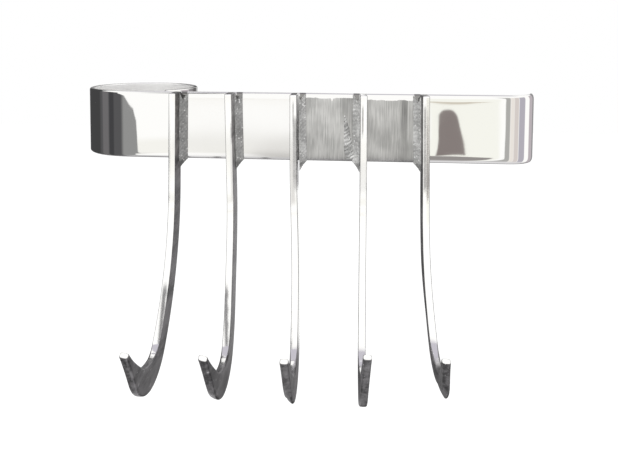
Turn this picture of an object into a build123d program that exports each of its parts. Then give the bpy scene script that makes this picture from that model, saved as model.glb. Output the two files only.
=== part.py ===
from build123d import *
import os
from math import acos, cos, degrees, radians, sin

# Wall hook rack: an upright flat bar with five edge-on plate hooks welded to its face.
# The bar's left end is rolled into a ring, and its right end is bent back a quarter turn.
# Millimetres. The origin is on the ring's axis, at half the bar's height.
# +X runs along the bar away from the ring, +Y runs back, away from the hooks, +Z is up.

# --- the bar -----------------------------------------------------------------------------
BAND_HEIGHT = 40.0            # width of the flat bar, which stands upright
BAND_THICKNESS = 3.0
RING_BORE_RADIUS = 31.0       # inside of the rolled ring
RING_END_GAP = 0.4            # how far the rolled end stops from the bar's own back
END_BEND_RADIUS = 13.0        # inside of the quarter bend at the far end
END_CORNER_RADIUS = 1.5       # ground corners of the bent end

# --- where the hooks stand ---------------------------------------------------------------
HOOK_COUNT = 5
FIRST_HOOK_X = 30.3           # from the ring's axis to the middle of the first hook
HOOK_PITCH = 36.7             # from one hook to the next, as marked out
END_RUN = 48.4                # from the last hook's mark to the start of the quarter bend

# the hooks were set by eye, so each stands a little off its mark: one value per hook
SET_SHIFTS = (0.8, -2.8, -2.1, 0.6, -1.1)      # along the bar
SET_LEANS = (-0.7, 1.4, 1.4, 0.0, 1.0)         # degrees, its foot away from the ring
SET_DROPS = (0.3, -0.3, 0.4, 0.0, -5.9)        # added to the length of its neck
SET_BEAKS = (-0.2, -0.2, 0.0, 5.4, -4.8)       # added to the length of its beak
WELD_SIDES = (1, 1, 1, -1, -1)                 # its one fillet: 1 away from the ring, -1 towards it

# --- one hook, a flat plate cut to this outline and set edge-on --------------------------
HOOK_THICKNESS = 4.0
BLADE_WIDTH = 12.7            # width of the neck and the sweep
NECK_LENGTH = 56.0            # straight neck, down from the bar's top edge
SWEEP_RADIUS = 125.0          # back edge of the long forward sweep
SWEEP_ANGLE = 42.2            # turn of its back edge, from straight down towards forwards
SHANK_LENGTH = 1.5            # straight back edge between the sweep and the belly
THROAT_RADIUS = 20.0          # inside of the belly, where a handle rests
THROAT_LAG = 0.7              # degrees the front edge sweeps on before the throat takes over
BELLY_OVERSIZE = 9.5          # how much larger the belly's outside radius is than the throat's
BEAK_LEAN = 30.5              # forward lean of the beak's front edge
BEAK_LENGTH = 25.2            # straight front edge of the beak
BEAK_FLAT = 3.5               # width of the flat cut on the beak's tip
BEAK_CUT_TILT = 15.0          # the flat cut rises this much towards the inside
EDGE_BREAK = 0.35             # chamfer along the plate's free edges

# --- welds -------------------------------------------------------------------------------
WELD_BAND_LEG = 4.2           # how far a fillet reaches along the bar's face
WELD_HOOK_LEG = 4.0           # how far it reaches along the hook's side
WELD_HOLLOW = 0.6             # how deep its face is ground in
WELD_TOP_INSET = 0.8          # a fillet starts this far below the bar's top edge
WELD_NOTCH_DEPTH = 4.6        # depth of the V in a fillet's top end
WELD_NOTCH_SHARE = 0.9        # share of the bead's width that the V takes
WELD_TAIL = 5.5               # how far a fillet runs out below the bar's lower edge

ROUGH_BEAD_HOOK_NUMBER = 4    # the hook with a stretch of unground weld on its ring side
ROUGH_BEAD_WIDTH = 5.6
ROUGH_BEAD_RISE = 0.9         # how proud it stands of the bar's face
ROUGH_BEAD_LENGTH = 27.0
ROUGH_BEAD_TIP = 1.0          # width left at its pointed upper end
ROUGH_BEAD_INSET = 1.0        # how far it ends above the bar's lower edge

SEAM_WELD_INSET = 2.0         # how far the ring's seam weld stops from the bar's edges
SEAM_INNER_LEG = 4.5          # how far it reaches along the bar's back, inside the ring
SEAM_OUTER_RISE = 3.0         # how far it climbs up the ring, outside
SEAM_OUTER_LEG = 2.5          # how far it then runs on along the bar's back

# --- places that follow from the sizes ---------------------------------------------------
top_z = BAND_HEIGHT / 2
bottom_z = -BAND_HEIGHT / 2
ring_radius = RING_BORE_RADIUS + BAND_THICKNESS
face_y = -ring_radius         # the bar's front face, where the hooks sit
back_y = face_y + BAND_THICKNESS
half_plate = HOOK_THICKNESS / 2
face_plane = Plane.XZ.offset(-face_y)
last_mark = FIRST_HOOK_X + (HOOK_COUNT - 1) * HOOK_PITCH
bend_x = last_mark + END_RUN

throat_angle = SWEEP_ANGLE + THROAT_LAG
belly_radius = THROAT_RADIUS + BELLY_OVERSIZE

# the rolled end stops where its outer corner has come back to the bar, less the gap
ring_end_turn = degrees(acos((RING_BORE_RADIUS - RING_END_GAP) / ring_radius))


def on_ring(radius, turn):
    """Point of a circle about the ring's axis, turned in degrees from the bar's side."""
    return Vector(radius * sin(radians(turn)), -radius * cos(radians(turn)))


def make_band():
    """The whole bar as one bent strip, drawn from above and raised to its height."""
    far_turn = (ring_end_turn - 360) / 2
    outer_end = on_ring(ring_radius, ring_end_turn)
    inner_end = on_ring(RING_BORE_RADIUS, ring_end_turn)
    front = Line((bend_x, face_y), (0, face_y))
    ring_outside = ThreePointArc(front @ 1, on_ring(ring_radius, far_turn), outer_end)
    rolled_end = Line(outer_end, inner_end)
    ring_inside = ThreePointArc(inner_end, on_ring(RING_BORE_RADIUS, far_turn), (0, back_y))
    back = Line((0, back_y), (bend_x, back_y))
    bend_inside = JernArc(back @ 1, back % 1, END_BEND_RADIUS, 90)
    bend_outside = JernArc(front @ 0, back % 1, END_BEND_RADIUS + BAND_THICKNESS, 90)
    bent_end = Line(bend_inside @ 1, bend_outside @ 1)
    outline = Wire([front, ring_outside, rolled_end, ring_inside, back, bend_inside, bent_end, bend_outside])
    band = extrude(Pos(0, 0, bottom_z) * make_face(outline), BAND_HEIGHT)
    end_corners = band.edges().filter_by(Axis.X).group_by(Axis.X)[-1]
    return fillet(end_corners, END_CORNER_RADIUS)


def make_hook(neck_length, beak_length):
    """One hook's plate about x = 0, with its back edge against the bar's face.

    It is drawn from the side: the drawing's first axis runs forwards, its second up.
    """
    # back edge: neck, sweep, shank, belly, front of the beak
    neck_back = Line((0, top_z), (0, top_z - neck_length))
    sweep_back = JernArc(neck_back @ 1, neck_back % 1, SWEEP_RADIUS, SWEEP_ANGLE)
    shank_end = sweep_back @ 1 + (sweep_back % 1) * SHANK_LENGTH
    shank_back = Line(sweep_back @ 1, shank_end)
    belly = JernArc(shank_end, sweep_back % 1, belly_radius, 180 - BEAK_LEAN - SWEEP_ANGLE)
    beak_front = Line(belly @ 1, belly @ 1 + (belly % 1) * beak_length)
    tip_cut = PolarLine(beak_front @ 1, BEAK_FLAT, 180 - BEAK_CUT_TILT)

    # front edge: neck and sweep, then the throat, which turns on more tightly
    neck_front = Line((BLADE_WIDTH, top_z), (BLADE_WIDTH, top_z - neck_length))
    sweep_front = JernArc(neck_front @ 1, neck_front % 1, SWEEP_RADIUS - BLADE_WIDTH, throat_angle)
    inward = (sweep_front % 1).rotate(Axis.Z, 90)
    throat_centre = sweep_front @ 1 + inward * THROAT_RADIUS

    # the beak's inner edge leaves the throat's circle at a tangent and ends at the cut
    to_tip = tip_cut @ 1 - throat_centre
    spread = degrees(acos(THROAT_RADIUS / to_tip.length))
    throat_end = throat_centre + to_tip.normalized().rotate(Axis.Z, -spread) * THROAT_RADIUS
    throat = RadiusArc(sweep_front @ 1, throat_end, -THROAT_RADIUS)
    beak_inside = Line(throat_end, tip_cut @ 1)
    top_cut = Line((0, top_z), (BLADE_WIDTH, top_z))

    outline = Wire([neck_back, sweep_back, shank_back, belly, beak_front, tip_cut,
                    beak_inside, throat, sweep_front, neck_front, top_cut])
    side_view = Plane(origin=(half_plate, face_y, 0), x_dir=(0, -1, 0), z_dir=(-1, 0, 0))
    plate = extrude(side_view * make_face(outline), HOOK_THICKNESS)
    seat = plate.faces().sort_by(Axis.Y)[-1]
    free_edges = plate.faces().filter_by(Axis.X).edges() - seat.edges()
    return chamfer(free_edges, EDGE_BREAK)


def make_fillet_weld():
    """The fillet on the +X side of a hook at x = 0: notched above, run out below."""
    corner = Vector(half_plate, face_y)
    band_toe = corner + Vector(WELD_BAND_LEG, 0)
    hook_toe = corner - Vector(0, WELD_HOOK_LEG)
    between_toes = band_toe - hook_toe
    outward = between_toes.normalized().rotate(Axis.Z, -90)
    middle = (band_toe + hook_toe) / 2
    section = make_face(Wire([Line(hook_toe, corner), Line(corner, band_toe),
                              ThreePointArc(band_toe, middle - outward * WELD_HOLLOW, hook_toe)]))
    foot_z = bottom_z - WELD_TAIL
    head_z = top_z - WELD_TOP_INSET
    bead = extrude(Pos(0, 0, foot_z) * section, head_z - foot_z)

    # the weld metal sags in the corner, which leaves a V in the bead's top end
    notch_plane = Plane(origin=(middle.X, middle.Y, head_z), x_dir=between_toes, z_dir=outward)
    half_notch = between_toes.length / 2 * WELD_NOTCH_SHARE
    notch = make_face(Polyline((-half_notch, 0), (0, -WELD_NOTCH_DEPTH), (half_notch, 0), close=True))
    bead -= extrude(notch_plane * notch, between_toes.length, both=True)

    # the tail is ground off on a slope, from the bar's lower edge down to the hook's side
    waste = make_face(Polyline((band_toe.X, bottom_z), (half_plate, foot_z),
                               (band_toe.X, foot_z), close=True))
    return bead - extrude(face_plane * waste, WELD_HOOK_LEG * 2, both=True)


def make_rough_bead():
    """The low rippled bead beside the fillet on the -X side of a hook at x = 0, pointed above."""
    right = -half_plate - WELD_BAND_LEG
    left = right - ROUGH_BEAD_WIDTH
    crown = ((left + right) / 2, face_y - ROUGH_BEAD_RISE)
    foot_z = bottom_z + ROUGH_BEAD_INSET
    head_z = foot_z + ROUGH_BEAD_LENGTH
    section = make_face(Wire([Line((left, face_y), (right, face_y)),
                              ThreePointArc((right, face_y), crown, (left, face_y))]))
    bead = extrude(Pos(0, 0, foot_z) * section, ROUGH_BEAD_LENGTH)
    waste = make_face(Polyline((right, foot_z), (right, head_z), (left + ROUGH_BEAD_TIP, head_z), close=True))
    return bead - extrude(face_plane * waste, ROUGH_BEAD_RISE * 2, both=True)


def make_seam_weld():
    """The weld that fills the wedge between the rolled end and the bar's back."""
    outer_end = on_ring(ring_radius, ring_end_turn)
    inner_end = on_ring(RING_BORE_RADIUS, ring_end_turn)
    rise_turn = degrees(acos(-(back_y + SEAM_OUTER_RISE) / ring_radius))
    rise = on_ring(ring_radius, rise_turn)
    inner_toe = Vector(inner_end.X - SEAM_INNER_LEG, back_y)
    outer_toe = Vector(rise.X + SEAM_OUTER_LEG, back_y)
    outside = ThreePointArc(rise, on_ring(ring_radius, (rise_turn + ring_end_turn) / 2), outer_end)
    section = make_face(Wire([Line(inner_toe, outer_toe), Line(outer_toe, rise), outside,
                              Line(outer_end, inner_end), Line(inner_end, inner_toe)]))
    return extrude(Pos(0, 0, bottom_z + SEAM_WELD_INSET) * section, BAND_HEIGHT - 2 * SEAM_WELD_INSET)


pieces = {"band": make_band(), "ring_seam_weld": make_seam_weld()}
fillet_weld = make_fillet_weld()
for index in range(HOOK_COUNT):
    setting = index % len(SET_SHIFTS)
    hook_x = FIRST_HOOK_X + index * HOOK_PITCH + SET_SHIFTS[setting]
    place = Pos(hook_x, 0, 0) * Rot(0, -SET_LEANS[setting], 0)
    name = f"hook_{index + 1}"
    pieces[name] = place * make_hook(NECK_LENGTH + SET_DROPS[setting], BEAK_LENGTH + SET_BEAKS[setting])
    fillet = fillet_weld if WELD_SIDES[setting] > 0 else mirror(fillet_weld, about=Plane.YZ)
    pieces[f"{name}_weld"] = place * fillet
    if index + 1 == ROUGH_BEAD_HOOK_NUMBER:
        pieces[f"{name}_rough_bead"] = place * make_rough_bead()

os.makedirs("parts", exist_ok=True)
for name, piece in pieces.items():
    export_step(piece, f"parts/{name}.step")
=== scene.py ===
# %% [markdown]
# # A wall hook rack in welded stainless steel
#
# One flat bar stands on its edge. Its left end is rolled into a ring that drops over a post, its
# right end is bent back a quarter turn, and five flat plates are welded edge-on to its face.
# Each plate runs down as a neck, sweeps forwards and turns up into a broad beak.
#
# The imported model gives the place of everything. Each visible piece here is a surface worked out
# as a numpy array, in millimetres, and turned into a mesh in metres.

# %% Load the frame
import bpy
import numpy as np
from mathutils import Matrix


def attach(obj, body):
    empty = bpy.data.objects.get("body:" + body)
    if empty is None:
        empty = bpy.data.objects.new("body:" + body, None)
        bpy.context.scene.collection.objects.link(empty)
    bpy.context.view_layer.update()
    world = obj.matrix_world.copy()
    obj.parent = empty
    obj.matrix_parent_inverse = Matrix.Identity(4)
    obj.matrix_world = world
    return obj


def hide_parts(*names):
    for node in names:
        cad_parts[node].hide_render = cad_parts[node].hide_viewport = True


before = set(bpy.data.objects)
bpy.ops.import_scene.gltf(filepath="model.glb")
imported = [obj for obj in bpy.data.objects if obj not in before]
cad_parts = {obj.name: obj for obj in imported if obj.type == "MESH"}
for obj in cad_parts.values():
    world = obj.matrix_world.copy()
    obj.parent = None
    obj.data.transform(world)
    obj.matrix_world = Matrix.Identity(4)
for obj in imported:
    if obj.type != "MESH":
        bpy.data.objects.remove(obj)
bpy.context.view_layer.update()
MM = 0.001
print("frame nodes:", len(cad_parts))

# %% [markdown]
# ## A surface from rows of points
#
# Bars, plates and weld beads are all a section that changes slowly along a line. A stack of rows
# holds such a shape: one row per station along the line, each row a closed loop of the same
# number of points. The loop could be made with Blender's curve bevel, but a bevel can't change
# from station to station as a ground weld or a tapering beak does.

# %% Rows of points to a closed mesh
def loft(name, rows, material):
    """A closed tube from rows[station, point, xyz] in millimetres.

    Point (i, j) joins (i, j+1), (i+1, j+1) and (i+1, j), with j counted round the loop.
    Each end is closed by one flat polygon.
    """
    rows = np.asarray(rows, float)
    n, m, _ = rows.shape
    i = np.arange(n - 1)[:, None]
    j = np.arange(m)[None, :]
    k = (j + 1) % m
    quads = np.stack([i * m + j, i * m + k, (i + 1) * m + k, (i + 1) * m + j], -1).reshape(-1, 4)
    faces = quads.tolist()
    faces.append(list(range(m))[::-1])
    faces.append([(n - 1) * m + q for q in range(m)])
    mesh = bpy.data.meshes.new(name)
    mesh.from_pydata((rows.reshape(-1, 3) * MM).tolist(), [], faces)
    mesh.polygons.foreach_set("use_smooth", np.arange(len(mesh.polygons)) < len(quads))
    mesh.materials.append(material)
    mesh.validate()
    turn_outwards(mesh)
    piece = bpy.data.objects.new(name, mesh)
    bpy.context.scene.collection.objects.link(piece)
    print(f"{name}: {n} stations of {m} points")
    return piece


def turn_outwards(mesh):
    """Flips every face where the closed mesh's signed volume is negative.

    The volume is the sum over triangles of a . (b x c) / 6, from the origin.
    """
    mesh.calc_loop_triangles()
    tris = np.zeros(len(mesh.loop_triangles) * 3, np.int64)
    mesh.loop_triangles.foreach_get("vertices", tris)
    co = np.zeros(len(mesh.vertices) * 3)
    mesh.vertices.foreach_get("co", co)
    a, b, c = co.reshape(-1, 3)[tris.reshape(-1, 3)].transpose(1, 0, 2)
    if np.einsum("ij,ij->i", a, np.cross(b, c)).sum() < 0:
        mesh.flip_normals()


# %% [markdown]
# ## Sizes that the pieces share
#
# These repeat the part's own sizes, in millimetres and degrees. The origin is on the ring's axis at
# half the bar's height, so the bar's front face is at y = -34 and its top edge at z = 20. The lists
# have one value per hook, from the ring to the bent end. The rack was set up by eye, so no two
# hooks stand, lean or reach quite alike.

# %% Sizes
HALF_HEIGHT = 20.0
THICKNESS = 3.0
BORE = 31.0
FACE_Y = -34.0
BEND_X = 225.5
BEND_INSIDE = 13.0
HALF_PLATE = 2.0
HOOK_X = [31.1, 64.2, 101.6, 141.0, 176.0]
LEANS = [-0.7, 1.4, 1.4, 0.0, 1.0]
DROPS = [0.3, 0.1, 0.35, 0.0, -6.0]
BEAKS = [24.9, 25.3, 25.2, 30.6, 20.3]
WELD_SIDES = [1, 1, 1, -1, -1]
print("hooks stand at", HOOK_X)

# %% [markdown]
# ## The bar's section: flat stock with rolled-over edges
#
# The bar is 3 by 40 mm flat stock, whose long edges were buffed until they rolled over. A bevel on
# a box would leave a crisp chamfer; the soft corner is what catches the bright line along the top
# of a hand-polished bar, so it is worked out as part of the section.

# %% Section of the bar
def bar_section(quarter=17, flat=9):
    """Closed loop of a flat bar with rolled-over edges, as three arrays (a, b, c).

    A point's offset from the middle line is a * half_thick, and its height is
    b * (half_high - roll) + c * roll. On a corner b = +-1 and a^2 + |c|^3 = 1, which leaves the
    flat gently and turns quickly at the edge. The points on the flats crowd towards their ends.
    """
    c = np.sin(np.linspace(0, np.pi / 2, quarter)) ** 0.9
    up = np.stack([np.sqrt(1 - np.minimum(c, 1) ** 3), np.ones_like(c), c], -1)
    h = np.sin(np.linspace(-np.pi / 2, np.pi / 2, flat + 2))[1:-1]
    flats = np.stack([np.ones_like(h), h, np.zeros_like(h)], -1)
    front = np.concatenate([up[::-1] * [1, -1, -1], flats, up])
    back = front[::-1][1:-1] * [-1, 1, 1]
    return np.concatenate([front, back]).T


print("bar section:", bar_section().shape[1], "points")

# %% [markdown]
# ## The bar's path: rolled, straight, bent
#
# Seen from above, the bar's middle line is the ring's circle, a straight, and a quarter circle. It
# could be drawn with arcs alone, but a mirror shows every jump in curvature as a kink in what it
# reflects. Rollers start a bend gently anyway, so the direction is eased into each bend and the
# points are summed up from it.

# %% Path of the bar
def bar_path(step=0.5, spacing=2.5):
    """Stations along the bar: middle point (x, y) and outward normal.

    The direction turns by psi(s) along the length s. A roller doesn't start a bend at once, so psi
    grows as s^2 / (2 L r) over an easement L, and then as (s - L / 2) / r. The points are the
    running sum of (cos psi, sin psi). Both radii are a little under those of the plain arcs, so
    that the ring and the bend keep their width.
    """
    middle_y = FACE_Y + THICKNESS / 2
    ring_start, ring_ease, ring_radius = 8.0, 16.0, 32.33
    bend_ease, bend_radius, bend_longest = 8.0, BEND_INSIDE + THICKNESS / 2 - 0.12, 40.0
    bend_start = BEND_X - bend_ease / 2
    end_turn = 2 * np.pi - np.arccos((BORE - 0.4) / (BORE + THICKNESS))

    def turned(s, ease_in, radius, most):
        """The lengths whose turn is up to most, and their turns."""
        psi = np.clip(s, 0, ease_in) ** 2 / (2 * ease_in * radius)
        psi = psi + np.clip(s - ease_in, 0, None) / radius
        return s[psi <= most], psi[psi <= most]

    def run(s, psi):
        """Sums of cos psi ds and sin psi ds, with psi taken half way along each step."""
        middle, gap = (psi[1:] + psi[:-1]) / 2, np.diff(s)
        along = np.stack([np.cos(middle) * gap, np.sin(middle) * gap])
        return np.concatenate([np.zeros((2, 1)), np.cumsum(along, 1)], 1)

    s = np.arange(0, ring_radius * end_turn + step, step)
    s, psi = turned(s, ring_ease, ring_radius, end_turn)
    x, y = run(s, psi)
    ring_part = np.stack([ring_start - x, middle_y + y, -np.sin(psi), -np.cos(psi)], -1)[::-1]

    x = np.arange(ring_start + spacing, bend_start - 2, spacing)
    straight = np.stack([x, 0 * x + middle_y, 0 * x, 0 * x - 1], -1)

    s, psi = turned(np.arange(0, bend_longest, step / 2), bend_ease, bend_radius, np.pi / 2)
    x, y = run(s, psi)
    bend = np.stack([bend_start + x, middle_y + y, np.sin(psi), -np.cos(psi)], -1)
    path = np.concatenate([ring_part, straight, bend])
    return path[:, :2], path[:, 2:]


points, normals = bar_path()
print("bar path:", len(points), "stations")


# %% Stations close to the ends
def run_length(points):
    """Distance of each point from the first, along the line through them."""
    return np.concatenate([[0], np.cumsum(np.linalg.norm(np.diff(points, axis=0), axis=1))])


def slide_ends(points, normals, insets, clear=0.2):
    """Sets stations at the given distances from both ends, for the end's corners to turn on.

    They take the place of those that lie nearer to an end than the last inset and a clear gap. A
    station between two others lies in proportion between them, and so does its normal.
    """
    length = run_length(points)
    inner = length[np.minimum(length, length[-1] - length) > insets[-1] + clear]
    at = np.concatenate([insets, inner, length[-1] - insets[::-1]])
    moved = [np.interp(at, length, column) for column in np.concatenate([points, normals], 1).T]
    return np.stack(moved[:2], -1), np.stack(moved[2:], -1)


points, normals = slide_ends(points, normals, np.array([0.0, 0.06, 0.2, 0.45, 0.8, 1.2]))
print("now", len(points), "stations over", run_length(points)[-1].round(1), "mm")

# %% [markdown]
# ## The bar's surface
#
# The section is set up at every station of the path. Both ends were sawn and their corners ground
# off, and the buffed edge is broader along the face than round the ring, where the wheel couldn't
# reach as well. A Bevel modifier would give every edge one width; here each station has its own.

# %% The bar as a surface
def bar_rows(points, normals, end_round=0.5, corner=1.5):
    """Rows of the bar, and how much each point faces back: middle point + offset * normal.

    Near an end, at distance d from it, half the height loses corner - sqrt(corner^2 - (corner-d)^2)
    and half the thickness loses the same for end_round, so the end face has ground corners. The
    rolled-over edge is 1.4 mm high round the ring and grows to 4.2 mm by the first hook.
    """
    a, b, c = bar_section()
    length = run_length(points)
    d = np.minimum(length, length[-1] - length)[:, None]

    def lost(radius):
        """How far a corner of the given radius draws in at each station."""
        short = np.clip(radius - d, 0, None)
        return radius - np.sqrt(np.maximum(radius**2 - short**2, 0))

    # the ring's far half counts as left of everything, and the bent end's back stays past 34
    left_of_all = 200 * (points[:, 1] > -25)
    roll = np.interp(points[:, 0] - left_of_all, [-12, 2, 34], [1.4, 2.2, 4.2])[:, None]
    half_high = HALF_HEIGHT - lost(corner)
    half_thick = THICKNESS / 2 - lost(end_round)
    offset = a * half_thick
    height = b * (half_high - roll) + c * roll
    xy = points[:, None, :] + normals[:, None, :] * offset[..., None]
    rows = np.concatenate([xy, height[..., None]], -1)
    return rows, np.broadcast_to(np.clip(-a, 0, 1) ** 2, height.shape)


rows, inner = bar_rows(points, normals)
print("bar rows:", rows.shape)
print("lowest", rows.min((0, 1)).round(2), "highest", rows.max((0, 1)).round(2))

# %% [markdown]
# ## A hook: two edge curves with plate between them
#
# Each hook is a flat plate cut to a J and set edge-on, so its cut edges face forwards and back.
# The inside and outside of the J are two curves of the same number of points, and the plate's
# section is carried from one to the other. That keeps the faces square to the blade all the way,
# where a cut-out polygon given a thickness would have one huge side face that shades badly.

# %% An arc in the hook's plane
def arc(start, heading, radius, turn, count):
    """Points of an arc that leaves start at a heading and turns towards the front.

    Headings are measured from straight down, in radians. A point after turning by a lies at
    start + radius * (n(heading) - n(heading + a)) with n(h) = (-cos h, -sin h).
    """
    a = np.linspace(0, turn, count)[:, None]
    n0 = np.array([-np.cos(heading), -np.sin(heading)])
    n = np.concatenate([-np.cos(heading + a), -np.sin(heading + a)], -1)
    return start + radius * (n - n0)


print("a quarter arc ends at", arc(np.zeros(2), 0, 10, np.pi / 2, 5)[-1].round(2))


# %% Edge curves of a hook
def hook_edges(drop, beak):
    """Back and front edge of a hook, as matching points (forwards, height).

    Both run down the neck and round the sweep. The back then steps out by the shoulder and takes
    the belly and the straight front of the beak; the front takes the throat and the beak's
    straight inside, which leaves the throat where the line to the tip is tangent to it.
    """
    neck, blade, sweep, turn = 56.0 + drop, 12.7, 125.0, np.radians(42.2)
    throat_turn, throat, belly, lean = np.radians(42.9), 20.0, 29.5, np.radians(30.5)
    shoulder, tip_width, tip_cut = 1.5, 3.5, np.radians(180 - 15)
    top = HALF_HEIGHT - 0.05

    def line(p, q, share):
        """p + share * (q - p), at each share."""
        return p + (q - p) * share[:, None]

    from_top, to_tip = np.linspace(0, 1, 26) ** 1.6, 1 - np.linspace(1, 0, 22) ** 2
    back = [line(np.array([0, top]), np.array([0, top - neck]), from_top)]
    back.append(arc(back[-1][-1], 0, sweep, turn, 38)[1:])
    shank = back[-1][-1] + shoulder * np.array([np.sin(turn), -np.cos(turn)])
    back.append(arc(shank, turn, belly, np.pi - lean - turn, 46))
    heading = np.pi - lean
    tip_out = back[-1][-1] + beak * np.array([np.sin(heading), -np.cos(heading)])
    back.append(line(back[-1][-1], tip_out, to_tip)[1:])

    front = [line(np.array([blade, top]), np.array([blade, top - neck]), from_top)]
    front.append(arc(front[-1][-1], 0, sweep - blade, throat_turn, 38)[1:])
    tip_in = tip_out + tip_width * np.array([np.cos(tip_cut), np.sin(tip_cut)])
    centre = front[-1][-1] + throat * np.array([np.cos(throat_turn), np.sin(throat_turn)])
    reach = tip_in - centre
    spread = np.arccos(throat / np.linalg.norm(reach))
    leave = np.arctan2(reach[1], reach[0]) - spread
    whole = leave + np.pi - throat_turn
    front.append(arc(front[-1][-1], throat_turn, throat, whole, 47)[1:])
    front.append(line(front[-1][-1], tip_in, to_tip)[1:])
    return np.concatenate(back), np.concatenate(front)


back_edge, front_edge = hook_edges(DROPS[2], BEAKS[2])
print("hook 3's edges:", len(back_edge), "and", len(front_edge), "points")
print("its tip:", back_edge[-1].round(2), "to", front_edge[-1].round(2))

# %% [markdown]
# ## The plate's section
#
# The plate is 4 mm thick, a hair proud in the middle of each cut edge, with corners that are sharp
# on the neck and worn round on the beak, where a grinder went over them. A Bevel modifier can't
# change its width along the hook, so the corner is part of the section. The section also says
# which points are on the polished front edge, for the finish to read.

# %% Section of a hook
def ease(value, low, high):
    """0 below low, 1 above high, 3t^2 - 2t^3 between."""
    t = np.clip((value - low) / (high - low), 0, 1)
    return t * t * (3 - 2 * t)


def plate_loop():
    """The plate's section as a loop of points, each with four numbers.

    side is +-1 on the plate's two sides and runs between them on a cut edge. share is 0 on the
    front edge, 1 on the back edge and between on the sides. turn and depth are how far round a
    corner a point is: 1 - cos a and 1 - sin a, for a quarter turn from the side to the edge.
    """
    a = np.linspace(0, np.pi / 2, 6)
    turn, depth = 1 - np.cos(a), 1 - np.sin(a)
    across = np.array([0.96, 0.75, 0.5, 0.25, 0.0, -0.25, -0.5, -0.75, -0.96])
    down = np.linspace(0, 1, 11)[1:-1]
    one, flat, wall = np.ones(6), np.ones(9), np.ones(9)
    side = np.concatenate([one, across, -one, -wall, -one, -across, one, wall])
    share = np.concatenate([0 * one, 0 * flat, 0 * one, down, one, flat, one, down[::-1]])
    turns = np.tile(np.concatenate([turn, flat, turn[::-1], 0 * wall]), 2)
    depths = np.tile(np.concatenate([depth, 0 * flat, depth[::-1], wall]), 2)
    return side, share, turns, depths


print("plate section:", plate_loop()[0].size, "points")


# %% The section carried along a hook's edges
def hook_rows(back, front, grind, fill, tilt, wear, bright, crown=0.035, end_round=0.25):
    """Rows of a hook in (x, forwards, height), and how polished each point is.

    A point lies at start + share * (w - start - ground) + (r * depth + crown * side^2) *
    (1 - 2 share) from the front edge, w being the blade's width and r the corner's radius:
    0.22 mm on the neck and the sweep, 0.9 mm on the belly, 1.3 mm on the hand-ground beak and
    1 mm at its cut. The belly's outer edge loses up to grind on its -x side, and the throat keeps
    up to fill more metal. At the ends all corners draw in by r - sqrt(r^2 - (r - d)^2), d from the
    end and r the end's radius, and the tip's cut drops by tilt towards +x. wear lists dull streaks
    on the polished front, as (t from, t to, side from, side to, depth), t being the share of the
    hook's length. bright says how polished the plate's flat sides are above the beak.
    """
    side, share, turns, depths = plate_loop()
    length = run_length((back + front) / 2)
    t = (length / length[-1])[:, None]
    r = 0.22 + 0.68 * ease(t, 0.66, 0.74) + 0.4 * ease(t, 0.88, 0.94) - 0.3 * ease(t, 0.97, 1.0)
    d = np.minimum(length, length[-1] - length)[:, None]
    short = np.clip(end_round - d, 0, None)
    inset = end_round - np.sqrt(np.maximum(end_round**2 - short**2, 0))
    blade = back - front
    width = np.linalg.norm(blade, axis=1)[:, None]
    on_belly = ease(t, 0.45, 0.62) * (1 - ease(t, 0.82, 0.92))
    ground = grind * on_belly * (1 - ((1 + side) / 2) ** 0.6)
    start = -fill * ease(t, 0.68, 0.80) * (1 - ease(t, 0.83, 0.96))
    p = start + share * (width - start - ground)
    p = p + (r * depths + crown * side**2 + inset) * (1 - 2 * share)
    x = side * (HALF_PLATE - inset - r * turns)
    at = front[:, None, :] + (blade / width)[:, None, :] * p[..., None]
    along = back[-1] - back[-2]
    along = along / np.linalg.norm(along)
    at = at - along * (tilt * ease(t, 0.93, 1.0) * (x / HALF_PLATE + 1) / 2)[..., None]
    x = x + np.zeros_like(p)
    edge = (turns == 1) & (share < 0.5) & (depths == 0)
    polish = edge * (1 - ease(t, 0.72, 0.79)) + bright * (turns == 0) * (1 - ease(t, 0.62, 0.72))
    for low, high, left, right, amount in wear:
        streak = ease(t, low, low + 0.02) * (1 - ease(t, high, high + 0.02))
        streak = streak * ease(side, left - 0.12, left + 0.12)
        polish = polish * (1 - amount * streak * (1 - ease(side, right - 0.12, right + 0.12)))
    polish[-1] = 1.0
    return np.concatenate([x[..., None], at], -1), polish


rows, polish = hook_rows(back_edge, front_edge, 1.0, 1.0, 0.5, [], 0.0)
print("hook rows:", rows.shape, "polished points:", int((polish > 0.5).sum()))

# %% [markdown]
# ## What makes each hook its own
#
# Five plates from one template still differ once they have been welded, bent and ground by hand.
# The lists give each hook's wear: how much of the belly is ground away, how full the throat is
# left, how far the tip's cut tilts, how bright its sides are, its dull streaks, and the few tenths
# of a millimetre by which it bends sideways. A Simple Deform modifier could bend a plate, but only
# along one curve; a cubic through a few marks follows the real plate.

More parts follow.
